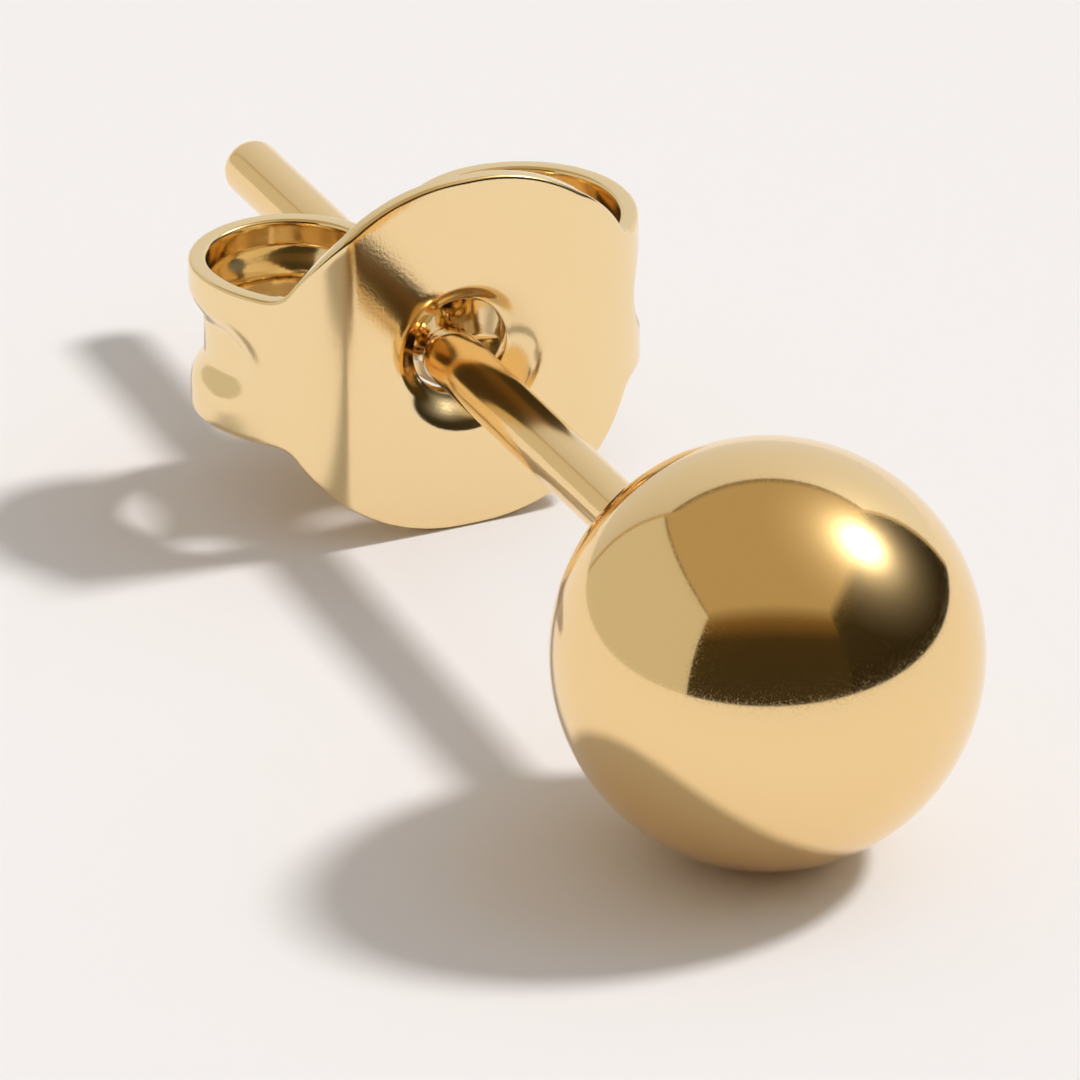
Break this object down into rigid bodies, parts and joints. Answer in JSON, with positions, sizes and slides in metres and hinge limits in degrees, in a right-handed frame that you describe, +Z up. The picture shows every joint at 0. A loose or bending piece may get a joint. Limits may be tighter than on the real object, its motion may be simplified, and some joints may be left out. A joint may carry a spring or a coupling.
{
  "type": "ball stud earring",
  "caption": "Polished ball on a straight ear post, held behind the ear by a folded butterfly back with curled arms that slides along the post.",
  "frame": {"origin": "on the floor under the middle of the whole stud, lying on its ball and on the back's plate", "axes": "+Y from the ball to the tip of the post, +Z up; the post drops 1.8 degrees from level towards its tip"},
  "size_m": [0.0056, 0.0174, 0.005],
  "materials": {
    "polished_gold": "mirror polished yellow gold",
    "satin_gold": "satin yellow gold sheet with bright edges"
  },
  "bodies": {
    "stud": {"ball_and_post": "polished_gold"},
    "back": {"butterfly_back": "satin_gold"}
  },
  "joints": [
    {"name": "back_slide", "type": "slide", "parent": "stud", "child": "back", "axis": [0, 0.9995, -0.0312], "range_m": [-0.006, 0.007]}
  ]
}
